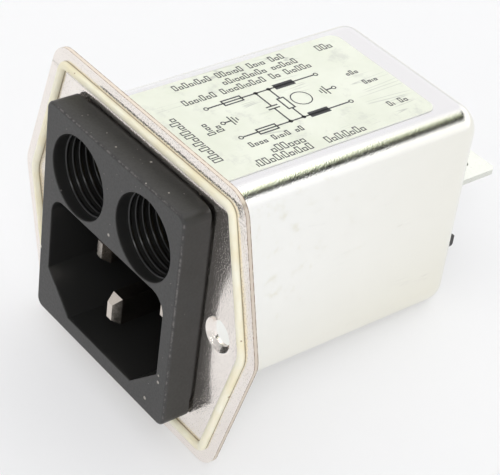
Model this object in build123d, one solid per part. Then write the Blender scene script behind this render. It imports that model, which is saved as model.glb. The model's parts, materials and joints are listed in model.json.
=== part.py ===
"""Panel-mounted mains inlet with a line filter and two screw-cap fuse sockets.

Millimetres, +Z up. The front faces -Y and the can runs back along +Y.
The origin lies on the front face of the flange, midway between the two screw holes.
"""
import os
from math import atan, cos, radians

from build123d import *

# Flange and deep-drawn can
flange_width = 49.8
flange_top_width = 38.4
flange_height = 41.6
flange_corner_radius = 3.5
flange_ear_radius = 4.0
sheet = 0.6
flange_bend_radius = 0.8
can_width = 28.1
can_depth = 44.2
can_edge_radius = 3.5
can_rear_radius = 3.0
body_rise = 0.35

# Dimpled screw holes in the ears
screw_pitch = 35.2
screw_hole_radius = 1.7
screw_hole_land = 0.5
countersink_radius = 2.35

# Sealing bead on the flange
bead_inset = 1.65
bead_width = 1.2
bead_height = 0.6
bead_crown_radius = 0.5
bead_corner_radius = 0.8
bead_gap = 1.85

# Moulded front housing
head_overlap = 0.35
head_depth = 4.3
head_corner_radius = 1.3
head_edge_radius = 0.35
head_relief_depth = 0.35
head_relief_inset = 0.3
mouth_edge_radius = 0.1
insert_clearance = 0.2
cavity_side_wall = 1.05
cavity_bottom_wall = 1.25
cavity_height_share = 0.552
cavity_depth = 17.0
cavity_chamfer_width = 5.1
cavity_chamfer_height = 4.95
cavity_corner_radius = 2.5
cavity_floor = 1.8
socket_outer_wall = 0.7
socket_web = 2.7
socket_cavity_web = 0.25
socket_depth = 10.0
chamber_share = 0.6
chamber_depth_share = 0.48
chamber_wall = 1.9
chamber_end_wall = 1.3

# Inlet pins
pin_width = 2.0
pin_height = 4.0
pin_spacing = 14.0
pin_row_rise = 1.5
earth_pin_drop = 4.0
pin_tip_side_inset = 0.5
pin_tip_end_inset = 0.8
pin_tip_length = 1.2
live_pin_recess = 4.25
earth_pin_recess = 1.3
pin_tail_width = 1.0
pin_tail_height = 3.0
pin_fit = 0.05

# Fuse contacts and the links from the live pins
contact_sheet = 0.5
contact_fit = 0.05
end_contact_clearance = 0.3
end_contact_shank_radius = 1.2
side_contact_rim = 0.6
side_contact_step = 0.3
side_lead_inset = 0.8
side_lead_width = 2.4
side_lead_thickness = 0.6
link_width = 3.2
tail_proud = 0.4

# Circuit board and what it carries
board_thickness = 1.6
board_setback = 5.4
board_clearance = 0.7
board_corner_radius = 2.4
lead_radius = 0.3
lead_hole_clearance = 0.1
lead_proud = 0.8
capacitor_side_gap = 2.05
capacitor_height = 7.0
capacitor_length_share = 0.32
capacitor_lead_inset = 1.5
capacitor_edge_radius = 0.6
resistor_radius = 1.2
resistor_length = 6.5
resistor_lead_pitch = 10.2
resistor_drop = 1.95
resistor_standoff = 0.1

# Current-compensated choke
core_bore_share = 0.57
core_length = 6.4
core_edge_radius = 0.6
winding_thickness = 0.85
winding_clearance = 0.1
winding_angle = 136.0
winding_lead_radius = 0.45
winding_lead_angle = 40.0
divider_thickness = 1.0
choke_floor_gap = 0.2
choke_top_gap = 0.65

# Rear terminals
plate_side_margin = 2.85
plate_height = 15.4
plate_proud = 1.6
plate_edge_radius = 0.35
plate_rib_height = 2.3
plate_rib_proud = 0.8
plate_lip = 0.8
plate_neck = 2.2
plate_drop = 1.35
plate_corner_radius = 1.0
window_clearance = 0.1
tab_width = 6.3
tab_thickness = 0.8
tab_length = 7.8
tab_tip_length = 0.6
tab_tip_inset = 0.6
tab_hole_radius = 0.8
tab_hole_setback = 3.4
tab_neck_width = 4.0
tab_leg_width = 2.5
tab_fit = 0.05
live_tab_offset = 1.0
live_tab_drop = 2.4
earth_tab_drop = 4.05

# Earth strap along the floor of the can
strap_width = 4.0
strap_thickness = 0.4
strap_gap = 1.5

# Film label on the top of the can
label_margin = 0.15
label_front = 4.0
label_rear_margin = 2.6
label_thickness = 0.12
label_corner_radius = 1.5

# Places that several pieces share
head_height = flange_height - 2 * (bead_inset + bead_width + bead_gap)
head_width = can_width + 2 * head_overlap
can_height = head_height - 2 * head_overlap
can_top = body_rise + can_height / 2
can_floor = body_rise - can_height / 2 + sheet
front_face = -head_depth
insert_half_width = can_width / 2 - sheet - insert_clearance
insert_top = can_top - sheet - insert_clearance
insert_bottom = can_floor + insert_clearance
cavity_width = 2 * (insert_half_width - cavity_side_wall)
cavity_height = (insert_top - insert_bottom) * cavity_height_share
cavity_rise = insert_bottom + cavity_bottom_wall + cavity_height / 2
cavity_top = cavity_rise + cavity_height / 2
cavity_back = front_face + cavity_depth
insert_back = cavity_back + cavity_floor
socket_room = insert_half_width - socket_outer_wall - socket_web / 2
socket_low = cavity_top + socket_cavity_web
socket_high = insert_top - socket_outer_wall
socket_radius = min(socket_room, socket_high - socket_low) / 2
socket_x = insert_half_width - socket_outer_wall - socket_radius
socket_z = (socket_low + socket_high) / 2
socket_back = front_face + socket_depth
chamber_radius = socket_radius * chamber_share
chamber_front = socket_back + contact_sheet
board_back = can_depth - board_setback
board_front = board_back - board_thickness
chamber_depth = (board_front - chamber_front) * chamber_depth_share
chamber_back = chamber_front + chamber_depth
end_wall_front = chamber_back + contact_sheet
tube_back = end_wall_front + chamber_end_wall
tube_radius = chamber_radius + chamber_wall
live_pin_z = cavity_rise + pin_row_rise
earth_pin_z = live_pin_z - earth_pin_drop
end_contact_radius = chamber_radius - end_contact_clearance
side_contact_outer_radius = socket_radius - side_contact_rim
side_contact_inner_radius = chamber_radius + side_contact_step
side_lead_x = socket_x + side_contact_inner_radius + side_lead_inset
link_back = tube_back + contact_sheet
earth_strap_front = insert_back + strap_gap
capacitor_length = (board_front - chamber_front) * capacitor_length_share
capacitor_half_width = side_lead_x - side_lead_thickness / 2 - capacitor_side_gap
capacitor_lead_x = capacitor_half_width - capacitor_lead_inset
resistor_z = socket_z - capacitor_height / 2 - resistor_drop
winding_reach = winding_thickness + winding_clearance
choke_bottom = can_floor + strap_thickness + choke_floor_gap
choke_top = resistor_z - resistor_radius - choke_top_gap
choke_radius = (choke_top - choke_bottom) / 2
choke_z = choke_bottom + choke_radius
core_outer_radius = choke_radius - winding_reach
core_inner_radius = core_outer_radius * core_bore_share
choke_length = core_length + 2 * winding_reach
choke_middle = board_front - choke_length / 2
plate_width = can_width - 2 * plate_side_margin
plate_z = body_rise - plate_drop
plate_face = can_depth + plate_proud
plate_back = can_depth - sheet - plate_neck
tab_tip = plate_face + tab_length
live_tab_x = plate_width / 4 + live_tab_offset
live_tab_z = resistor_z - live_tab_drop
earth_tab_z = plate_z - earth_tab_drop
strap_back = (board_back + plate_back) / 2 + strap_thickness / 2
label_width = can_width - 2 * can_edge_radius - 2 * label_margin
label_length = can_depth - can_rear_radius - label_front - label_rear_margin
sides = {"line": 1, "neutral": -1}


def slab(profile, front, back):
    """Extrude a profile drawn as seen from the front (X, Z) from one depth to another."""
    return extrude(Plane.XZ.offset(-back) * profile, back - front)


def rear_rounded_slab(profile, front, back, radius):
    """An extruded profile with the edges of its rear face rounded."""
    body = slab(profile, front, back)
    return fillet(body.faces().sort_by(Axis.Y)[-1].edges(), radius)


def rod(x, z, radius, front, back):
    """A round bar along Y."""
    return slab(Pos(x, z) * Circle(radius), front, back)


def bar(x, z, width, height, front, back):
    """A rectangular bar along Y."""
    return slab(Pos(x, z) * Rectangle(width, height), front, back)


def frustum(x, z, front, front_radius, back, back_radius):
    """A cone piece along Y."""
    rings = {front: front_radius, back: back_radius}
    return loft([Plane.XZ.offset(-y) * Pos(x, z) * Circle(radius) for y, radius in rings.items()])


def flange_profile(inset, corner_radius, ear_radius):
    """The six-sided flange outline, moved inwards by an inset."""
    half_height = flange_height / 2
    slope = (flange_width - flange_top_width) / 2 / half_height
    ear = flange_width / 2 - inset / cos(atan(slope))
    top = half_height - inset
    shoulder = ear - top * slope
    points = [(ear, 0), (shoulder, top), (-shoulder, top), (-ear, 0), (-shoulder, -top), (shoulder, -top)]
    outline = make_face(Polyline(*points, close=True))
    corners = [v for v in outline.vertices() if abs(v.Y) > top / 2]
    outline = fillet(corners, corner_radius)
    ears = [v for v in outline.vertices() if abs(v.Y) < top / 4]
    return fillet(ears, ear_radius)


def rounded_profile(width, height, radius, rise):
    """A rounded rectangle centred on the middle plane at a given height."""
    return Pos(0, rise) * RectangleRounded(width, height, radius)


def can():
    """Deep-drawn can with its flange, dimpled screw holes and rear window, one sheet thick."""
    body = slab(rounded_profile(can_width, can_height, can_edge_radius, body_rise), 0, can_depth)
    body = fillet(body.faces().sort_by(Axis.Y)[-1].edges(), can_rear_radius)
    flange = slab(flange_profile(0, flange_corner_radius, flange_ear_radius), 0, sheet)
    shell = flange + body
    back_edges = shell.edges().filter_by_position(Axis.Y, sheet - 0.01, sheet + 0.01)
    root = [e for e in back_edges if abs(e.center().X) < can_width / 2 + 0.01
            and abs(e.center().Z - body_rise) < can_height / 2 + 0.01]
    shell = fillet(root, flange_bend_radius)
    inside_radius = can_edge_radius - sheet
    inside = slab(rounded_profile(can_width - 2 * sheet, can_height - 2 * sheet, inside_radius, body_rise),
                  -sheet, can_depth - sheet)
    inside = fillet(inside.faces().sort_by(Axis.Y)[-1].edges(), can_rear_radius - sheet)
    shell -= inside
    window = rounded_profile(plate_width - 2 * plate_lip, plate_height - 2 * plate_lip, plate_corner_radius,
                             plate_z)
    shell -= slab(window, can_depth - 2 * sheet, can_depth + sheet)
    dimple_depth = countersink_radius - screw_hole_radius
    dimple_back = dimple_depth + screw_hole_land
    flare = countersink_radius + sheet / cos(radians(45))
    for x in (-screw_pitch / 2, screw_pitch / 2):
        dimple = frustum(x, 0, 0, flare, dimple_depth, screw_hole_radius + sheet)
        dimple += rod(x, 0, screw_hole_radius + sheet, dimple_depth, dimple_back)
        shell += dimple - inside
        shell -= frustum(x, 0, 0, countersink_radius, dimple_depth, screw_hole_radius)
        shell -= rod(x, 0, screw_hole_radius, 0, dimple_back)
    return shell


def seal_bead():
    """Rounded sealing bead that follows the flange outline."""
    outer = flange_profile(bead_inset, bead_corner_radius + bead_width, flange_ear_radius)
    inner = flange_profile(bead_inset + bead_width, bead_corner_radius, flange_ear_radius)
    bead = slab(outer - inner, -bead_height, 0)
    return fillet(bead.faces().sort_by(Axis.Y)[0].edges(), bead_crown_radius)


def cavity_profile():
    """Inlet opening: two chamfered corners on the earth side, two rounded ones on the other."""
    half_width = cavity_width / 2
    bottom = cavity_top - cavity_height
    points = [
        (half_width, cavity_top),
        (-half_width, cavity_top),
        (-half_width, bottom + cavity_chamfer_height),
        (-half_width + cavity_chamfer_width, bottom),
        (half_width - cavity_chamfer_width, bottom),
        (half_width, bottom + cavity_chamfer_height),
    ]
    opening = make_face(Polyline(*points, close=True))
    return fillet(opening.vertices().group_by(Axis.Y)[-1], cavity_corner_radius)


def front_housing():
    """Moulding with the inlet cavity, the two fuse sockets and the insert that fills the can's mouth."""
    head = slab(rounded_profile(head_width, head_height, head_corner_radius, body_rise),
                front_face, -head_relief_depth)
    head = fillet(head.faces().sort_by(Axis.Y)[0].edges(), head_edge_radius)
    seat_width = head_width - 2 * head_relief_inset
    seat_height = head_height - 2 * head_relief_inset
    head += slab(rounded_profile(seat_width, seat_height, can_edge_radius, body_rise), -head_relief_depth, 0)
    shrink = 2 * (sheet + insert_clearance)
    insert_radius = can_edge_radius - sheet - insert_clearance
    housing = head + slab(rounded_profile(can_width - shrink, can_height - shrink, insert_radius, body_rise),
                          0, insert_back)
    for side in sides.values():
        housing += rod(side * socket_x, socket_z, tube_radius, socket_back, tube_back)
    housing -= slab(cavity_profile(), front_face, cavity_back)
    for side in sides.values():
        x = side * socket_x
        housing -= rod(x, socket_z, socket_radius, front_face, socket_back)
        housing -= rod(x, socket_z, side_contact_outer_radius + contact_fit, socket_back, chamber_front)
        housing -= rod(x, socket_z, chamber_radius, chamber_front, chamber_back)
        housing -= rod(x, socket_z, end_contact_radius + contact_fit, chamber_back, end_wall_front)
        housing -= rod(x, socket_z, end_contact_shank_radius + contact_fit, end_wall_front, tube_back)
        housing -= bar(side * side_lead_x, socket_z, side_lead_thickness + 2 * contact_fit,
                       side_lead_width + 2 * contact_fit, socket_back, tube_back)
        housing -= bar(side * pin_spacing / 2, live_pin_z, pin_width + 2 * pin_fit, pin_height + 2 * pin_fit,
                       cavity_back, insert_back)
    housing -= bar(0, earth_pin_z, pin_width + 2 * pin_fit, pin_height + 2 * pin_fit,
                   cavity_back, insert_back)
    mouths = housing.faces().sort_by(Axis.Y)[0].inner_wires()
    return fillet(mouths.edges(), mouth_edge_radius)


def inlet_pin(x, z, tip, tail_end):
    """Flat inlet pin with a tapered tip in the cavity and a narrow tail behind the housing."""
    shoulder = tip + pin_tip_length
    section = Pos(x, z) * Rectangle(pin_width, pin_height)
    nose = Pos(x, z) * Rectangle(pin_width - 2 * pin_tip_side_inset, pin_height - 2 * pin_tip_end_inset)
    taper = loft([Plane.XZ.offset(-tip) * nose, Plane.XZ.offset(-shoulder) * section])
    blade = slab(section, shoulder, insert_back)
    return taper + blade + bar(x, z, pin_tail_width, pin_tail_height, insert_back, tail_end)


def live_pin(side):
    return inlet_pin(side * pin_spacing / 2, live_pin_z, front_face + live_pin_recess, link_back + tail_proud)


def earth_pin():
    tail_end = earth_strap_front + strap_thickness + tail_proud
    return inlet_pin(0, earth_pin_z, front_face + earth_pin_recess, tail_end)


def fuse_end_contact(side):
    """Headed contact at the bottom of a fuse chamber, with its shank through the end wall."""
    x = side * socket_x
    head = rod(x, socket_z, end_contact_radius, chamber_back, end_wall_front)
    return head + rod(x, socket_z, end_contact_shank_radius, end_wall_front, link_back + tail_proud)


def fuse_side_contact(side):
    """Contact washer let into the socket's shoulder, with its lead through the housing to the board."""
    x = side * socket_x
    washer = rod(x, socket_z, side_contact_outer_radius, socket_back, chamber_front)
    washer -= rod(x, socket_z, side_contact_inner_radius, socket_back, chamber_front)
    lead = bar(side * side_lead_x, socket_z, side_lead_thickness, side_lead_width,
               chamber_front, board_back + lead_proud)
    return washer + lead


def fuse_link(side):
    """Flat link behind the housing, from a live pin's tail up to the fuse's end contact."""
    pin_x = side * pin_spacing / 2
    contact_x = side * socket_x
    low = live_pin_z - pin_tail_height / 2 - link_width / 4
    high = socket_z + link_width / 2
    width = link_width + abs(pin_x - contact_x)
    link = bar((pin_x + contact_x) / 2, (low + high) / 2, width, high - low, tube_back, link_back)
    link -= bar(pin_x, live_pin_z, pin_tail_width + 2 * contact_fit, pin_tail_height + 2 * contact_fit,
                tube_back, link_back)
    return link - rod(contact_x, socket_z, end_contact_shank_radius + contact_fit, tube_back, link_back)


def winding_lead_points(side):
    """Where a winding's two ends go through the board, between its inner and outer sleeves."""
    radius = (core_outer_radius + choke_radius) / 2
    middle = 0 if side > 0 else 180
    reach = Vector(radius, 0)
    turned = [reach.rotate(Axis.Z, middle + turn) for turn in (-winding_lead_angle, winding_lead_angle)]
    return [(p.X, choke_z + p.Y) for p in turned]


def circuit_board():
    """Board across the can, with a hole for each lead and a slot for each flat conductor."""
    width = can_width - 2 * sheet - 2 * board_clearance
    height = can_height - 2 * sheet - 2 * board_clearance
    board = slab(rounded_profile(width, height, board_corner_radius, body_rise), board_front, board_back)
    lead_hole = lead_radius + lead_hole_clearance
    for side in sides.values():
        board -= rod(side * capacitor_lead_x, socket_z, lead_hole, board_front, board_back)
        board -= rod(side * resistor_lead_pitch / 2, resistor_z, lead_hole, board_front, board_back)
        board -= bar(side * live_tab_x, live_tab_z, tab_leg_width + 2 * tab_fit,
                     tab_thickness + 2 * tab_fit, board_front, board_back)
        board -= bar(side * side_lead_x, socket_z, side_lead_thickness + 2 * contact_fit,
                     side_lead_width + 2 * contact_fit, board_front, board_back)
        for x, z in winding_lead_points(side):
            board -= rod(x, z, winding_lead_radius + lead_hole_clearance, board_front, board_back)
    return board


def x_capacitor():
    """Boxed film capacitor on the board, with its two leads."""
    box = bar(0, socket_z, 2 * capacitor_half_width, capacitor_height,
              board_front - capacitor_length, board_front)
    edges = box.edges().filter_by(Axis.Y) + box.faces().sort_by(Axis.Y)[0].edges()
    box = fillet(edges, capacitor_edge_radius)
    for side in sides.values():
        box += rod(side * capacitor_lead_x, socket_z, lead_radius, board_front, board_back + lead_proud)
    return box


def bleeder_resistor():
    """Axial resistor across the capacitor, its leads bent back through the board."""
    y = board_front - resistor_standoff - resistor_radius
    body = Pos(0, y, resistor_z) * Rot(0, 90, 0) * Cylinder(resistor_radius, resistor_length)
    body = fillet(body.edges(), resistor_radius / 3)
    body += Pos(0, y, resistor_z) * Rot(0, 90, 0) * Cylinder(lead_radius, resistor_lead_pitch)
    for side in sides.values():
        x = side * resistor_lead_pitch / 2
        body += Pos(x, y, resistor_z) * Sphere(lead_radius)
        body += rod(x, resistor_z, lead_radius, y, board_back + lead_proud)
    return body


def choke_core():
    """Ferrite ring with rounded edges, its axis along Y."""
    front = choke_middle - core_length / 2
    profile = Pos(0, choke_z) * (Circle(core_outer_radius) - Circle(core_inner_radius))
    core = slab(profile, front, front + core_length)
    return fillet(core.edges().filter_by(GeomType.CIRCLE), core_edge_radius)


def winding(side):
    """One winding: a sleeve of wire round the core over part of the ring, and its two ends."""
    core_width = core_outer_radius - core_inner_radius
    sleeve = Rectangle(core_width + 2 * winding_reach, choke_length)
    sleeve -= Rectangle(core_width + 2 * winding_clearance, core_length + 2 * winding_clearance)
    section = Pos((core_outer_radius + core_inner_radius) / 2, choke_middle, choke_z) * sleeve
    axis = Axis((0, 0, choke_z), (0, 1, 0))
    turns = revolve(section, axis, winding_angle)
    turns = turns.rotate(axis, -winding_angle / 2 + (0 if side > 0 else 180))
    for x, z in winding_lead_points(side):
        turns += rod(x, z, winding_lead_radius, board_front, board_back + lead_proud)
    return turns


def choke_divider():
    """Insulating plate across the core's hole, standing on the board between the windings."""
    height = 2 * (core_inner_radius ** 2 - (divider_thickness / 2) ** 2) ** 0.5 - 2 * winding_clearance
    return bar(0, choke_z, divider_thickness, height, choke_middle - choke_length / 2, board_front)


def terminal_plate():
    """Insulating plate in the can's rear window, with a rib along its foot and a slot for each tab."""
    outline = rounded_profile(plate_width, plate_height, plate_corner_radius, plate_z)
    foot_z = plate_z - (plate_height - plate_rib_height) / 2
    rib_outline = outline & Pos(0, foot_z) * Rectangle(plate_width, plate_rib_height)
    plate = rear_rounded_slab(outline, can_depth, plate_face, plate_edge_radius)
    plate += rear_rounded_slab(rib_outline, can_depth, plate_face + plate_rib_proud, plate_edge_radius)
    shrink = 2 * (plate_lip + window_clearance)
    neck_radius = plate_corner_radius - window_clearance
    plate += slab(rounded_profile(plate_width - shrink, plate_height - shrink, neck_radius, plate_z),
                  plate_back, can_depth)
    places = [(side * live_tab_x, live_tab_z) for side in sides.values()] + [(0, earth_tab_z)]
    for x, z in places:
        plate -= bar(x, z, tab_neck_width + 2 * tab_fit, tab_thickness + 2 * tab_fit, plate_back, plate_face)
    return plate


def push_on_tab(x, z, leg_end):
    """Flat push-on tab with a tapered tip and latch hole, its neck in the plate and its leg inside."""
    half = tab_width / 2
    tip_half = half - tab_tip_inset
    shoulder = tab_tip - tab_tip_length
    neck = tab_neck_width / 2
    leg = tab_leg_width / 2
    right = [(leg, leg_end), (leg, plate_back), (neck, plate_back), (neck, plate_face), (half, plate_face),
             (half, shoulder), (tip_half, tab_tip)]
    left = [(-u, v) for u, v in reversed(right)]
    outline = make_face(Polyline(*right, *left, close=True))
    outline -= Pos(0, tab_tip - tab_hole_setback) * Circle(tab_hole_radius)
    return Pos(x, 0, z - tab_thickness / 2) * extrude(outline, tab_thickness)


def live_tab(side):
    return push_on_tab(side * live_tab_x, live_tab_z, board_front)


def earth_tab():
    return push_on_tab(0, earth_tab_z, strap_back)


def earth_strap():
    """Bent strip from the earth pin's tail, along the can's floor and up to the earth tab."""
    front = earth_strap_front
    front_top = earth_pin_z + pin_tail_height / 2 + strap_width / 4
    back_top = earth_tab_z + strap_width / 4
    t = strap_thickness
    points = [(front, front_top), (front, can_floor), (strap_back, can_floor), (strap_back, back_top),
              (strap_back - t, back_top), (strap_back - t, can_floor + t), (front + t, can_floor + t),
              (front + t, front_top)]
    strip = extrude(Plane.YZ * make_face(Polyline(*points, close=True)), strap_width / 2, both=True)
    return strip - bar(0, earth_pin_z, pin_tail_width + 2 * contact_fit, pin_tail_height + 2 * contact_fit,
                       front, front + t)


def rating_label():
    """Thin film stuck on the top of the can."""
    film = extrude(RectangleRounded(label_width, label_length, label_corner_radius), label_thickness)
    return Pos(0, label_front + label_length / 2, can_top) * film


pieces = {
    "can": can(),
    "seal_bead": seal_bead(),
    "front_housing": front_housing(),
    "earth_pin": earth_pin(),
    "circuit_board": circuit_board(),
    "x_capacitor": x_capacitor(),
    "bleeder_resistor": bleeder_resistor(),
    "choke_core": choke_core(),
    "choke_divider": choke_divider(),
    "terminal_plate": terminal_plate(),
    "earth_tab": earth_tab(),
    "earth_strap": earth_strap(),
    "rating_label": rating_label(),
}
for name, side in sides.items():
    pieces[f"{name}_pin"] = live_pin(side)
    pieces[f"{name}_fuse_end_contact"] = fuse_end_contact(side)
    pieces[f"{name}_fuse_side_contact"] = fuse_side_contact(side)
    pieces[f"{name}_fuse_link"] = fuse_link(side)
    pieces[f"{name}_winding"] = winding(side)
    pieces[f"{name}_tab"] = live_tab(side)

os.makedirs("parts", exist_ok=True)
for node, solid in pieces.items():
    export_step(solid, f"parts/{node}.step")
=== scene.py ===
"""Dresses the mains inlet line filter: finishes, socket threads, label print, studio light and camera."""
import json
import math

import bmesh
import bpy
from mathutils import Matrix, Vector


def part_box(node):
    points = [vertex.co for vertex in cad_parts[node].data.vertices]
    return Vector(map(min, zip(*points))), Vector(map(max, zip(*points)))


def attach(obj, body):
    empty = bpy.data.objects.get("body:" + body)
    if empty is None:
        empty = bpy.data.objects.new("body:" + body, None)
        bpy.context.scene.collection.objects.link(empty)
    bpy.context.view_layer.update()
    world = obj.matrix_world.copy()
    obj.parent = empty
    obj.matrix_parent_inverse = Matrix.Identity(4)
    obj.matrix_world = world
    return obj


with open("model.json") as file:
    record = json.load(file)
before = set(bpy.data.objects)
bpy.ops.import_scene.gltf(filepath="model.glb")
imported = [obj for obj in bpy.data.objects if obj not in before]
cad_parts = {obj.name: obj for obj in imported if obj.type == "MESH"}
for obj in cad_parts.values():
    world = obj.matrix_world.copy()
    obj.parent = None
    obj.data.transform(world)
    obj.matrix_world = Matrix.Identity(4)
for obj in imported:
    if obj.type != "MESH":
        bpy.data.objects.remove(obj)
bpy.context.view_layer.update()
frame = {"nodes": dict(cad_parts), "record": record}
nodes = frame["nodes"]
MM = 0.001


class Nodes:
    """Adds nodes to one material or group, in the order in which the finish is described."""

    def __init__(self, tree):
        self.tree = tree

    def feed(self, socket, value):
        if isinstance(value, bpy.types.NodeSocket):
            self.tree.links.new(value, socket)
        else:
            socket.default_value = value

    def add(self, kind, inputs=None, **settings):
        node = self.tree.nodes.new("ShaderNode" + kind)
        for name, value in settings.items():
            setattr(node, name, value)
        for socket, value in (inputs or {}).items():
            self.feed(node.inputs[socket], value)
        return node

    def vector(self, operation, first, second=(0, 0, 0)):
        return self.add("VectorMath", {0: first, 1: second}, operation=operation).outputs

    def math(self, operation, first, second=0.0, third=0.0):
        node = self.add("Math", {0: first, 1: second, 2: third}, operation=operation)
        return node.outputs[0]

    def between(self, value, low, high, to_low=0.0, to_high=1.0):
        """Maps low..high of a value smoothly to another range, held at its ends."""
        inputs = {"Value": value, "From Min": low, "From Max": high, "To Min": to_low, "To Max": to_high}
        return self.add("MapRange", inputs, interpolation_type="SMOOTHSTEP").outputs["Result"]

    def mix(self, share, first, second):
        node = self.add("Mix", {0: share, 6: first, 7: second}, data_type="RGBA")
        return node.outputs[2]

    def noise(self, place, scale, detail=2.0, roughness=0.5):
        inputs = {"Vector": place, "Scale": scale, "Detail": detail, "Roughness": roughness}
        return self.add("TexNoise", inputs).outputs[0]

    def axes(self, place):
        return self.add("SeparateXYZ", {0: place}).outputs

    def group(self, tree, inputs):
        node = self.add("Group", node_tree=tree)
        for socket, value in inputs.items():
            self.feed(node.inputs[socket], value)
        return node.outputs


def effect(name, inputs, outputs):
    """Starts a node group with named sockets, and returns it with its nodes, inputs and output node."""
    tree = bpy.data.node_groups.new(name, "ShaderNodeTree")
    for socket, kind in inputs.items():
        tree.interface.new_socket(socket, in_out="INPUT", socket_type="NodeSocket" + kind)
    for socket in outputs:
        tree.interface.new_socket(socket, in_out="OUTPUT", socket_type="NodeSocketFloat")
    given = tree.nodes.new("NodeGroupInput").outputs
    result = tree.nodes.new("NodeGroupOutput").inputs
    return tree, Nodes(tree), given, result


def grain_effect():
    """Fine grain and a broad mottle, both about one half."""
    sockets = {"Place": "Vector", "Scale": "Float"}
    tree, make, given, result = effect("surface_grain", sockets, ["Grain", "Mottle"])
    broad = make.math("MULTIPLY", given["Scale"], 0.11)
    make.feed(result["Grain"], make.noise(given["Place"], given["Scale"], 3.0))
    make.feed(result["Mottle"], make.noise(given["Place"], broad, 4.0, 0.6))
    return tree


def specks_effect():
    """Scattered round specks: a share of the cells of a grid of points holds one."""
    sockets = {"Place": "Vector", "Scale": "Float", "Radius": "Float", "Share": "Float"}
    tree, make, given, result = effect("specks", sockets, ["Mask"])
    cells = make.add("TexVoronoi", {"Vector": given["Place"], "Scale": given["Scale"]})
    chance = make.axes(cells.outputs["Color"])[0]
    held = make.math("LESS_THAN", chance, given["Share"])
    size = make.math("MULTIPLY", given["Radius"], make.axes(cells.outputs["Color"])[1])
    inner = make.math("MULTIPLY", size, 0.6)
    spot = make.between(cells.outputs["Distance"], inner, size, 1.0, 0.0)
    make.feed(result["Mask"], make.math("MULTIPLY", spot, held))
    return tree


def scratches_effect():
    """Hair-thin lines where a stretched noise crosses its middle value, broken into short runs."""
    sockets = {"Place": "Vector", "Scale": "Float", "Width": "Float"}
    tree, make, given, result = effect("hair_scratches", sockets, ["Mask"])
    masks = []
    for turn in ((0.3, 0.2, 0.5), (-0.7, 0.4, -0.4)):
        turned = make.add("Mapping", {"Vector": given["Place"], "Rotation": turn, "Scale": (1.0, 0.06, 1.0)})
        line = make.noise(turned.outputs[0], given["Scale"], 1.0)
        off = make.math("ABSOLUTE", make.math("SUBTRACT", line, 0.5))
        hair = make.between(off, 0.0, given["Width"], 1.0, 0.0)
        run = make.between(make.noise(given["Place"], make.math("MULTIPLY", given["Scale"], 0.3)), 0.52, 0.62)
        masks.append(make.math("MULTIPLY", hair, run))
    make.feed(result["Mask"], make.math("MAXIMUM", *masks))
    return tree


def edge_effect():
    """A mask along the edges of a box, broken up by noise, for a paler band along a block's edges."""
    sockets = {"Place": "Vector", "Middle": "Vector", "Half Size": "Vector", "Reach": "Float"}
    tree, make, given, result = effect("block_edges", sockets, ["Mask"])
    away = make.vector("ABSOLUTE", make.vector("SUBTRACT", given["Place"], given["Middle"])[0])[0]
    depth = make.axes(make.vector("SUBTRACT", away, given["Half Size"])[0])
    lesser = make.math("MINIMUM", depth[0], depth[1])
    greater = make.math("MAXIMUM", depth[0], depth[1])
    second = make.math("MAXIMUM", lesser, make.math("MINIMUM", greater, depth[2]))
    near = make.between(second, make.math("MULTIPLY", given["Reach"], -1.0), 0.0)
    broken = make.between(make.noise(given["Place"], 1400.0, 4.0, 0.75), 0.42, 0.62)
    make.feed(result["Mask"], make.math("MULTIPLY", near, broken))
    return tree


def depth_effect():
    """How deep a place lies under the nearest face of a box."""
    sockets = {"Place": "Vector", "Middle": "Vector", "Half Size": "Vector"}
    tree, make, given, result = effect("block_depth", sockets, ["Depth"])
    away = make.vector("ABSOLUTE", make.vector("SUBTRACT", given["Place"], given["Middle"])[0])[0]
    x, y, z = make.axes(make.vector("SUBTRACT", given["Half Size"], away)[0])
    make.feed(result["Depth"], make.math("MINIMUM", x, make.math("MINIMUM", y, z)))
    return tree


grain = grain_effect()
specks = specks_effect()
scratches = scratches_effect()
block_edges = edge_effect()
block_depth = depth_effect()


class Finish(Nodes):
    """One material: a Principled surface whose plain values are set on its own sockets."""

    def __init__(self, name, **values):
        self.material = bpy.data.materials.new(name)
        self.material.use_nodes = True
        super().__init__(self.material.node_tree)
        self.surface = self.tree.nodes["Principled BSDF"]
        for socket, value in values.items():
            self.surface.inputs[socket.replace("_", " ")].default_value = value
        self.place = self.add("TexCoord").outputs["Object"]

    def grained(self, scale):
        return self.group(grain, {"Place": self.place, "Scale": scale})

    def speckled(self, scale, radius, share):
        inputs = {"Place": self.place, "Scale": scale, "Radius": radius, "Share": share}
        return self.group(specks, inputs)["Mask"]

    def scratched(self, scale, width):
        return self.group(scratches, {"Place": self.place, "Scale": scale, "Width": width})["Mask"]

    def colour(self, value):
        self.feed(self.surface.inputs["Base Color"], value)

    def roughness(self, value):
        self.feed(self.surface.inputs["Roughness"], value)

    def relief(self, *layers):
        """Lays bumps over one another, each a height and the distance that it stands for."""
        normal = None
        for height, distance in layers:
            bump = self.add("Bump", {"Height": height, "Distance": distance, "Strength": 1.0})
            if normal:
                self.feed(bump.inputs["Normal"], normal)
            normal = bump.outputs[0]
        self.feed(self.surface.inputs["Normal"], normal)


def plain_finish(name, dark, light, rough, scale, depth, **values):
    """A grained finish of two near colours, for the small metal pieces and the pieces inside."""
    made = Finish(name, **values)
    surface = made.grained(scale)
    made.colour(made.mix(surface["Mottle"], dark, light))
    made.roughness(made.between(surface["Grain"], 0.25, 0.75, rough * 0.8, rough * 1.2))
    made.relief((surface["Grain"], depth))
    return made.material


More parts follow.
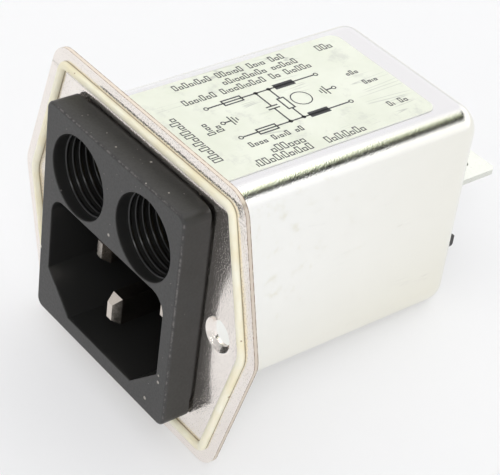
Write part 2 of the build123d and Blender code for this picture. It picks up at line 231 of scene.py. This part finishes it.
# Places on the flange and can that the tin plate's finish follows; the bends are too slight for the solid
screw_hole_x = 17.6 * MM
screw_hole_reach = 2.9 * MM
ear_bend_from, ear_bend_to, ear_bend_depth = 15.4 * MM, 21.5 * MM, 0.8 * MM
ear_height = 14.0 * MM
rim_bend_from, rim_bend_to, rim_bend_depth = 19.7 * MM, 20.9 * MM, 0.19 * MM
foot_bend_from, foot_bend_to, foot_bend_depth = 17.1 * MM, 18.0 * MM, 0.22 * MM
tin_grain_depth, flange_grain_share = 0.009 * MM, 0.55
sheet = 0.6 * MM
burr = 0.13 * MM
label_low, label_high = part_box("rating_label")
can_top = label_low.z


def tin_finish():
    """Bright tin plate: polished on the flange, satin on the can, bare steel at the sheared edge, with
    painted shade on the can toward its rear and bottom and on its upper face.
    """
    made = Finish("bright_tin_plate", Metallic=1.0)
    surface = made.grained(2600.0)
    speckle = made.noise(made.place, 5200.0, 1.0)
    x, y, z = made.axes(made.place)
    flange = made.between(y, 0.7 * MM, 1.8 * MM, 1.0, 0.0)
    stain = made.between(made.noise(made.place, 420.0, 6.0, 0.7), 0.5, 0.75, 0.0, 0.6)
    can_colour = made.mix(surface["Mottle"], (0.94, 0.94, 0.91, 1), (0.98, 0.98, 0.95, 1))
    # Painted shade: the can darkens toward its rear and toward the floor, in the same darker colour as its
    # stains
    rear_painted_shade = made.between(y, 6 * MM, 46 * MM, 0.0, 0.5)
    low_painted_shade = made.between(z, -18 * MM, 2 * MM, 0.4, 0.0)
    can_painted_shade = made.math("ADD", rear_painted_shade, low_painted_shade)
    can_colour = made.mix(made.math("MAXIMUM", stain, can_painted_shade), can_colour, (0.84, 0.82, 0.71, 1))
    flange_colour = made.mix(surface["Mottle"], (0.88, 0.82, 0.77, 1), (0.96, 0.91, 0.86, 1))
    # Painted shade: the can's upper face round the label is a darker grey, so that it shows less of the
    # bright sky
    upper_face_painted_shade = made.between(z, can_top - 0.4 * MM, can_top - 0.05 * MM)
    can_colour = made.mix(upper_face_painted_shade, can_colour, (0.63, 0.62, 0.63, 1))
    tin = made.mix(flange, can_colour, flange_colour)
    hair = made.scratched(700.0, 0.006)
    tin = made.mix(made.math("MULTIPLY", hair, 0.2), tin, (0.55, 0.53, 0.5, 1))
    from_hole = made.math("SUBTRACT", made.math("ABSOLUTE", x), screw_hole_x)
    hole_distance = made.math("SQRT", made.math("ADD", made.math("MULTIPLY", from_hole, from_hole),
                                                made.math("MULTIPLY", z, z)))
    behind_front = made.math("GREATER_THAN", y, 0.01 * MM)
    in_edge = made.math("MULTIPLY", behind_front, made.math("LESS_THAN", y, sheet))
    sheared = made.math("MULTIPLY", in_edge, made.math("GREATER_THAN", hole_distance, screw_hole_reach))
    from_middle = made.math("ABSOLUTE", made.math("SUBTRACT", y, sheet / 2))
    rust = made.between(from_middle, sheet / 2 - burr, sheet / 2 - burr * 0.6)
    rust = made.math("MULTIPLY", rust, made.between(surface["Grain"], 0.35, 0.6, 0.4, 1.0))
    edge = made.mix(rust, (0.74, 0.66, 0.57, 1), (0.28, 0.17, 0.11, 1))
    made.colour(made.mix(sheared, tin, edge))
    satin = made.between(surface["Grain"], 0.2, 0.8, 0.13, 0.19)
    mirror = made.between(surface["Grain"], 0.3, 0.7, 0.10, 0.16)
    smooth = made.add("Mix", {0: flange, 2: satin, 3: mirror}).outputs[0]
    smooth = made.math("ADD", smooth, made.math("MULTIPLY", stain, 0.05))
    made.roughness(made.math("ADD", smooth, made.math("MULTIPLY", sheared, 0.25)))
    pits = made.math("MULTIPLY", made.between(speckle, 0.52, 0.8), flange)
    fine = made.math("ADD", made.math("MULTIPLY", speckle, 1.7), made.math("MULTIPLY", pits, 4.0))
    fine = made.math("SUBTRACT", fine, made.math("MULTIPLY", hair, 0.5))
    fine = made.math("MULTIPLY", fine, made.between(flange, 0.0, 1.0, 1.0, flange_grain_share))
    ear = made.math("MULTIPLY", made.between(made.math("ABSOLUTE", x), ear_bend_from, ear_bend_to),
                    made.between(made.math("ABSOLUTE", z), 1.0 * MM, ear_height, 1.0, 0.0))
    bend = made.math("MULTIPLY", made.math("MULTIPLY", ear, flange), -1.0)
    by_bead = made.between(z, foot_bend_from, foot_bend_to, 0.0, foot_bend_depth / rim_bend_depth)
    edges = made.math("ADD", by_bead, made.between(z, rim_bend_from, rim_bend_to))
    edges = made.math("MULTIPLY", made.math("MULTIPLY", edges, flange), -1.0)
    made.relief((bend, ear_bend_depth), (edges, rim_bend_depth), (fine, tin_grain_depth))
    return made.material


def seal_finish():
    """Cream silicone with a few dark and rusty specks on it, and painted shade where it meets the flange."""
    made = Finish("cream_silicone", Specular_IOR_Level=0.4)
    surface = made.grained(1500.0)
    cream = made.mix(made.between(surface["Mottle"], 0.3, 0.7), (0.95, 0.87, 0.62, 1), (0.99, 0.96, 0.80, 1))
    # Painted shade: a dark olive band along the bead where it meets the flange
    bead_base_painted_shade = made.between(made.axes(made.place)[1], -0.16 * MM, -0.02 * MM)
    cream = made.mix(bead_base_painted_shade, cream, (0.40, 0.33, 0.20, 1))
    dirt = made.math("MAXIMUM", made.speckled(900.0, 0.22, 0.12), made.speckled(420.0, 0.14, 0.10))
    made.colour(made.mix(made.math("MULTIPLY", dirt, 0.85), cream, (0.38, 0.24, 0.11, 1)))
    made.roughness(made.between(surface["Grain"], 0.2, 0.8, 0.30, 0.46))
    made.relief((surface["Mottle"], 0.03 * MM))
    return made.material


head_low, head_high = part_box("front_housing")
head_box_half = Vector((head_high.x - head_low.x, 40 * MM, head_high.z - head_low.z)) / 2
head_box_middle = Vector((0.0, head_low.y + head_box_half.y, (head_low.z + head_high.z) / 2))
# Depths into the openings over which the painted shade and the dust-free black come in
opening_shade_from, opening_shade_to = 0.12 * MM, 0.4 * MM


def moulding_finish():
    """Matt black moulding: dusty outside and paler along its front edges; deep in its openings free of dust,
    with painted shade as a darker black.
    """
    made = Finish("black_moulding", Specular_IOR_Level=0.55)
    surface = made.grained(3000.0)
    block = {"Place": made.place, "Middle": head_box_middle, "Half Size": head_box_half}
    # Paler in broken runs along the block's front edges
    pale_edges = made.group(block_edges, {**block, "Reach": 0.3 * MM})["Mask"]
    depth = made.group(block_depth, block)["Depth"]
    # Painted shade: deep in the openings the black is darker, free of dust and less rough
    dust_free_painted_shade = made.between(depth, opening_shade_from, opening_shade_to)
    black = made.mix(surface["Mottle"], (0.024, 0.023, 0.022, 1), (0.038, 0.037, 0.036, 1))
    black = made.mix(made.math("MULTIPLY", pale_edges, 0.85), black, (0.24, 0.22, 0.21, 1))
    dust = made.math("MAXIMUM", made.speckled(1100.0, 0.24, 0.45), made.speckled(480.0, 0.15, 0.25))
    black = made.mix(made.math("MULTIPLY", dust, 0.8), black, (0.50, 0.46, 0.41, 1))
    made.colour(made.mix(dust_free_painted_shade, black, (0.018, 0.018, 0.0175, 1)))
    satin = made.between(surface["Grain"], 0.2, 0.8, 0.36, 0.52)
    made.roughness(made.add("Mix", {0: dust_free_painted_shade, 2: satin, 3: 0.3}).outputs[0])
    made.relief((surface["Grain"], 0.012 * MM))
    return made.material


def film_finish():
    """Pale film with faint creases, a slightly uneven tint and painted light on its side faces."""
    made = Finish("pale_label_film", Specular_IOR_Level=0.45)
    surface = made.grained(900.0)
    crease = made.noise(made.place, 160.0, 3.0, 0.55)
    tint = made.between(surface["Mottle"], 0.3, 0.7)
    film = made.mix(tint, (0.77, 0.80, 0.68, 1), (0.85, 0.875, 0.765, 1))
    smudge = made.between(made.noise(made.place, 300.0, 5.0, 0.7), 0.54, 0.70, 0.0, 0.35)
    film = made.mix(smudge, film, (0.52, 0.53, 0.49, 1))
    crack = made.math("MULTIPLY", made.scratched(420.0, 0.010), 0.4)
    film = made.mix(crack, film, (0.26, 0.27, 0.26, 1))
    height = made.axes(made.place)[2]
    # Painted light: the film's side faces are near white, lighter than they would shade
    film_side_painted_light = made.between(height, label_high.z - 0.02 * MM, label_high.z - 0.004 * MM, 1.0, 0.0)
    made.colour(made.mix(film_side_painted_light, film, (0.97, 0.97, 0.95, 1)))
    made.roughness(made.between(surface["Grain"], 0.2, 0.8, 0.32, 0.46))
    made.relief((crease, 0.06 * MM), (surface["Grain"], 0.004 * MM))
    return made.material


# Finishes of the pieces that show
tin_plate = tin_finish()
cream_seal = seal_finish()
black_moulding = moulding_finish()
label_film = film_finish()
thread_black = plain_finish("glossy_thread", (0.006, 0.006, 0.006, 1), (0.010, 0.010, 0.010, 1),
                            0.2, 1800.0, 0.004 * MM)
nickel = plain_finish("nickel_plate", (0.60, 0.54, 0.48, 1), (0.72, 0.66, 0.60, 1),
                      0.2, 1500.0, 0.0015 * MM, Metallic=1.0)
tinned = plain_finish("tinned_brass", (0.70, 0.71, 0.66, 1), (0.78, 0.79, 0.73, 1),
                      0.30, 1500.0, 0.0005 * MM, Metallic=1.0)
print_ink = plain_finish("print_ink", (0.012, 0.012, 0.014, 1), (0.035, 0.035, 0.038, 1),
                         0.5, 3500.0, 0.004 * MM)

# Finishes of the pieces inside
brass = plain_finish("contact_brass", (0.62, 0.44, 0.16, 1), (0.78, 0.60, 0.27, 1),
                     0.28, 1600.0, 0.006 * MM, Metallic=1.0)
laminate = plain_finish("board_laminate", (0.30, 0.20, 0.08, 1), (0.42, 0.30, 0.13, 1),
                        0.5, 1200.0, 0.02 * MM)
capacitor_case = plain_finish("capacitor_case", (0.62, 0.42, 0.06, 1), (0.74, 0.52, 0.09, 1),
                              0.42, 900.0, 0.015 * MM)
resistor_body = plain_finish("resistor_body", (0.45, 0.30, 0.17, 1), (0.56, 0.39, 0.23, 1),
                             0.4, 1500.0, 0.01 * MM)
ferrite = plain_finish("ferrite", (0.05, 0.05, 0.055, 1), (0.10, 0.10, 0.105, 1),
                       0.5, 1500.0, 0.03 * MM)
copper_wire = plain_finish("enamelled_wire", (0.50, 0.16, 0.05, 1), (0.66, 0.25, 0.09, 1),
                           0.3, 1100.0, 0.05 * MM, Metallic=0.85)
divider_card = plain_finish("divider_card", (0.60, 0.55, 0.44, 1), (0.72, 0.67, 0.56, 1),
                            0.6, 1000.0, 0.02 * MM)

node_finishes = {
    "can": tin_plate,
    "seal_bead": cream_seal,
    "front_housing": black_moulding,
    "terminal_plate": black_moulding,
    "rating_label": label_film,
    "line_pin": nickel,
    "neutral_pin": nickel,
    "earth_pin": nickel,
    "line_tab": tinned,
    "neutral_tab": tinned,
    "earth_tab": tinned,
    "earth_strap": brass,
    "line_fuse_end_contact": brass,
    "neutral_fuse_end_contact": brass,
    "line_fuse_side_contact": brass,
    "neutral_fuse_side_contact": brass,
    "line_fuse_link": brass,
    "neutral_fuse_link": brass,
    "circuit_board": laminate,
    "x_capacitor": capacitor_case,
    "bleeder_resistor": resistor_body,
    "choke_core": ferrite,
    "line_winding": copper_wire,
    "neutral_winding": copper_wire,
    "choke_divider": divider_card,
}
for node, finish in node_finishes.items():
    for slot in nodes[node].material_slots:
        slot.material = finish


def add_piece(name, shape, finish):
    """Turns a finished bmesh into a piece of the part, smooth but for its sharp edges."""
    mesh = bpy.data.meshes.new(name)
    shape.to_mesh(mesh)
    shape.free()
    mesh.shade_smooth()
    mesh.set_sharp_from_angle(angle=math.radians(40))
    mesh.materials.append(finish)
    piece = bpy.data.objects.new(name, mesh)
    bpy.context.scene.collection.objects.link(piece)
    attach(piece, "root")
    return piece


# Threads in the fuse sockets
mounts = {mount["name"]: mount for mount in frame["record"]["mounts"]}
thread_pitch = 1.0 * MM
thread_rise = 0.24 * MM
thread_half_width = 0.26 * MM
thread_front = 1.3 * MM
thread_start = math.radians(-45)
thread_turns = 8
thread_steps = 56


def socket_thread(side):
    """A rounded ridge, half sunk in the wall of one fuse socket and wound round it."""
    socket = mounts[f"{side}_fuse_socket"]
    x, middle, z = socket["pos_m"]
    wall = socket["dims"]["r_mm"] * MM
    start = middle - socket["dims"]["length_mm"] * MM / 2 + thread_front
    place = (Matrix.Translation((x, start, z)) @ Matrix.Rotation(thread_start, 4, "Y")
             @ Matrix.LocRotScale(Vector((wall, 0, 0)), None, Vector((thread_rise, thread_half_width, 1))))
    shape = bmesh.new()
    bmesh.ops.create_circle(shape, cap_ends=True, radius=1, segments=20, matrix=place)
    bmesh.ops.spin(shape, geom=shape.faces[:], cent=(x, 0, z), axis=(0, 1, 0),
                   dvec=(0, thread_pitch / thread_steps, 0),
                   angle=2 * math.pi * thread_turns, steps=thread_turns * thread_steps)
    bmesh.ops.recalc_face_normals(shape, faces=shape.faces)
    return add_piece(f"{side}_socket_thread", shape, thread_black)


for side in ("line", "neutral"):
    socket_thread(side)

# Print on the label: a circuit in plain symbols, and rows of ticks and boxes in place of words
ink_sunk = 0.004 * MM
ink_proud = 0.012 * MM
line_width = 0.22
mark_height, mark_width, mark_line, mark_gap = 1.2, 0.6, 0.15, 0.2
low_mark_share, low_mark_shift = 0.55, 0.22
far_line, near_line = -3.4, 3.8
line_front, line_back = 12.25, 29.2
end_radius = 0.36
ring_width = 0.16
fuse_place, capacitor_place, resistor_place, choke_place = 16.0, 19.7, 21.8, 24.3
fuse_width, fuse_length = 1.25, 3.1
winding_width, winding_length = 1.1, 3.2
joint_radius = 0.3
plate_gap, plate_length = 0.55, 1.8
resistor_length, resistor_width = 2.7, 1.2
core_radius = 1.5
earth_lead, earth_gap, earth_step, earth_line = 0.8, 0.9, 0.45, 0.18
earth_bars = (2.0, 1.4, 0.7)


class Print:
    """Flat ink shapes on the label, in millimetres across (x) and along (y) the can."""

    def __init__(self):
        self.shape = bmesh.new()

    def at(self, x, y, across=1.0, along=1.0):
        return Matrix.LocRotScale(Vector((x, y, 0)), None, Vector((across, along, 1)))

    def bar(self, x, y, across, along):
        made = bmesh.ops.create_grid(self.shape, x_segments=1, y_segments=1, size=0.5,
                                     matrix=self.at(x, y, across, along))
        return list({face for vert in made["verts"] for face in vert.link_faces})

    def dot(self, x, y, radius):
        made = bmesh.ops.create_circle(self.shape, cap_ends=True, radius=radius, segments=24,
                                       matrix=self.at(x, y))
        return list({face for vert in made["verts"] for face in vert.link_faces})

    def hollow(self, faces, width=line_width):
        bmesh.ops.inset_region(self.shape, faces=faces, thickness=width, use_even_offset=True,
                               use_boundary=True)
        bmesh.ops.delete(self.shape, geom=faces, context="FACES")

    def row(self, x, y, marks, size=1.0, turned=False):
        """Boxes and short ticks in place of a line of small print, along the can or turned across it."""
        for mark in marks:
            height, width = mark_height * size, mark_width * size
            if mark == ",":
                width = mark_line
            shift = 0.0
            if mark in ",o":
                shift = height * low_mark_shift
                height *= low_mark_share
            if turned:
                self.stamp(mark, x - width / 2, y + shift, width, height)
                x -= width + mark_gap
            else:
                self.stamp(mark, x + shift, y + width / 2, height, width)
                y += width + mark_gap

    def stamp(self, mark, x, y, across, along):
        if mark == " ":
            return
        faces = self.bar(x, y, across, along)
        if mark != ",":
            self.hollow(faces, mark_line)

    def finish(self):
        shape = self.shape
        bmesh.ops.scale(shape, vec=(MM, MM, MM), verts=shape.verts)
        bmesh.ops.translate(shape, vec=(0, 0, label_high.z + ink_proud), verts=shape.verts)
        bmesh.ops.recalc_face_normals(shape, faces=shape.faces)
        down = [face for face in shape.faces if face.normal.z < 0]
        bmesh.ops.reverse_faces(shape, faces=down)
        bmesh.ops.solidify(shape, geom=shape.faces[:], thickness=ink_proud + ink_sunk)
        return add_piece("label_print", shape, print_ink)


ink = Print()
for line in (far_line, near_line):
    ink.bar(line, (line_front + line_back) / 2, line_width, line_back - line_front)
    ink.hollow(ink.bar(line, fuse_place, fuse_width, fuse_length))
    ink.bar(line, choke_place, winding_width, winding_length)
    for y in (capacitor_place, resistor_place):
        ink.dot(line, y, joint_radius)
    for y in (line_front - end_radius, line_back + end_radius):
        ink.hollow(ink.dot(line, y, end_radius), ring_width)
middle_line = (far_line + near_line) / 2
reach = near_line - far_line
for sign in (-1, 1):
    plate_lead, resistor_lead = (reach - plate_gap) / 2, (reach - resistor_length) / 2
    ink.bar(middle_line + sign * (reach + plate_gap) / 4, capacitor_place, plate_lead, line_width)
    ink.bar(middle_line + sign * plate_gap / 2, capacitor_place, line_width, plate_length)
    ink.bar(middle_line + sign * (reach + resistor_length) / 4, resistor_place, resistor_lead, line_width)
ink.hollow(ink.bar(middle_line, resistor_place, resistor_length, resistor_width))
ink.hollow(ink.dot(middle_line, choke_place, core_radius), ring_width)
for start, step in ((12.2, 1), (29.3, -1)):
    ink.hollow(ink.dot(middle_line, start - step * end_radius, end_radius), ring_width)
    ink.bar(middle_line, start + step * earth_lead / 2, line_width, earth_lead)
    for place, across in enumerate(earth_bars):
        ink.bar(middle_line, start + step * (earth_gap + earth_step * place), across, earth_line)
for x, y, marks, size in [
    (-9.1, 10.9, "0o0o,0o0 00o,o0 0o,o 0o0", 1.0), (-7.4, 17.4, "o0,oo0o,0o oo0o,0", 1.0),
    (-5.7, 10.0, "0oo,0o0 0,oo0,o0o0 0o 0,o00o", 1.0), (5.6, 11.8, "0ooo 0,o,0 o0", 0.85),
    (7.6, 13.5, "o00ooo", 1.15), (9.2, 10.0, ",00o0,0o,0o0", 1.1), (9.2, 20.9, "0o0,0o0o", 1.1),
    (-8.4, 33.8, "00o", 1.1), (-1.6, 33.2, "o0o", 0.8), (1.0, 34.0, "0o,o", 0.8),
    (6.6, 33.4, "0, 0o", 0.9),
]:
    ink.row(x, y, marks, size)
for x, y, marks, size in [
    (6.7, 6.4, "00o0,0o00,o0o", 1.15), (1.7, 9.2, "0,oo", 0.95), (1.6, 10.6, "0o", 0.9),
]:
    ink.row(x, y, marks, size, turned=True)
ink.finish()

# Studio: the part rests on its flange and the can's rear edge, so the floor is tilted in the part's frame
floor_tilt = math.radians(7.5)
floor_touch = Vector((0, 0.6, -20.8)) * MM
floor_reach = 3.0
floor_whiteness = 0.36
mirrored_whiteness = 0.5


def floor():
    """A pale floor that keeps the shadow, whitened for the camera and a little more in reflections."""
    shape = bmesh.new()
    turned = Matrix.Translation(floor_touch) @ Matrix.Rotation(floor_tilt, 4, "X")
    bmesh.ops.create_grid(shape, x_segments=1, y_segments=1, size=floor_reach, matrix=turned)
    mesh = bpy.data.meshes.new("floor")
    shape.to_mesh(mesh)
    shape.free()
    made = Finish("pale_floor", Roughness=0.9, Specular_IOR_Level=0.1)
    surface = made.grained(60.0)
    made.colour(made.mix(surface["Mottle"], (0.92, 0.92, 0.935, 1), (0.94, 0.94, 0.95, 1)))
    ray = made.add("LightPath").outputs
    mirrored = made.math("ADD", ray["Is Glossy Ray"], ray["Is Transmission Ray"])
    pale = made.add("Emission", {"Color": (0.94, 0.94, 0.95, 1), "Strength": 1.0})
    share = made.math("ADD", made.math("MULTIPLY", ray["Is Camera Ray"], floor_whiteness),
                      made.math("MULTIPLY", mirrored, mirrored_whiteness))
    share = made.math("MINIMUM", share, 1.0)
    blend = made.add("MixShader", {0: share, 1: made.surface.outputs[0], 2: pale.outputs[0]})
    made.feed(made.tree.nodes["Material Output"].inputs["Surface"], blend.outputs[0])
    mesh.materials.append(made.material)
    piece = bpy.data.objects.new("floor", mesh)
    bpy.context.scene.collection.objects.link(piece)


# Light from all round, brightest at the back left, with a small softbox by the camera, a dim room at the
# front left and, at the back right, a dark gap between the backdrop and the ceiling
sky_bands = [(0.0, (1.0, 1.0, 1.02, 1)), (0.565, (1.0, 1.0, 1.0, 1)), (0.575, (0.0, 0.0, 0.0, 1)),
             (0.735, (0.0, 0.0, 0.0, 1)), (0.765, (0.72, 0.80, 0.48, 1)), (0.81, (1.0, 1.0, 0.97, 1))]
bright_side = (-0.55, 0.65, 0.5)
gap_side = (1.0, 1.0, 0.0)
room_side = (-0.62, -0.56, 0.55)
fill_side, fill_reach, fill_strength = (0.53, -0.45, 0.72), 11, 7.0


def studio_light():
    """One banded world that is brighter or dimmer toward some sides."""
    world = bpy.data.worlds.new("studio")
    world.use_nodes = True
    make = Nodes(world.node_tree)
    direction = make.add("TexCoord").outputs["Generated"]
    bands = make.add("ValToRGB", {0: make.axes(direction)[2]})
    stops = bands.color_ramp.elements
    while len(stops) < len(sky_bands):
        stops.new(0.5)
    for stop, (height, colour) in zip(stops, sky_bands):
        stop.position, stop.color = height, colour

    def toward(side, low, high, to_low=0.0, to_high=1.0):
        facing = make.vector("DOT_PRODUCT", direction, side)["Value"]
        return make.between(facing, low, high, to_low, to_high)

    def softbox(side, reach, strength):
        outer, inner = math.cos(math.radians(reach)), math.cos(math.radians(reach * 0.6))
        return toward(side, outer, inner, 0.0, strength)

    strength = toward(bright_side, -0.5, 0.7, 0.79, 1.38)
    strength = make.math("MULTIPLY", strength, toward(room_side, 0.3, 0.9, 1.0, 0.6))
    strength = make.math("ADD", strength, softbox(fill_side, fill_reach, fill_strength))
    light = world.node_tree.nodes["Background"].inputs
    make.feed(light["Color"], make.mix(toward(gap_side, 0.55, 0.85), (1, 1, 1, 1), bands.outputs[0]))
    make.feed(light["Strength"], strength)
    bpy.context.scene.world = world


# Camera as fitted to the edges in the picture
view_azimuth, view_elevation, view_roll = (math.radians(angle) for angle in (47.634, 36.294, 7.946))
view_distance = 235.704 * MM
view_target = Vector((-0.1435, 19.2037, -4.2564)) * MM
view_lens = 128.68
sensor_width = 36.0


def camera():
    """A camera turned about the part, rolled a little and set back along its view."""
    lens = bpy.data.cameras.new("camera")
    lens.lens = view_lens
    lens.sensor_fit = "HORIZONTAL"
    lens.sensor_width = sensor_width
    lens.clip_start, lens.clip_end = 0.01, 20.0
    made = bpy.data.objects.new("camera", lens)
    turn = (Matrix.Rotation(view_azimuth, 4, "Z") @ Matrix.Rotation(math.pi / 2 - view_elevation, 4, "X")
            @ Matrix.Rotation(view_roll, 4, "Z"))
    made.matrix_world = Matrix.Translation(view_target) @ turn @ Matrix.Translation((0, 0, view_distance))
    bpy.context.scene.collection.objects.link(made)
    bpy.context.scene.camera = made


floor()
camera()
studio_light()
scene = bpy.context.scene
scene.view_settings.view_transform = "Standard"
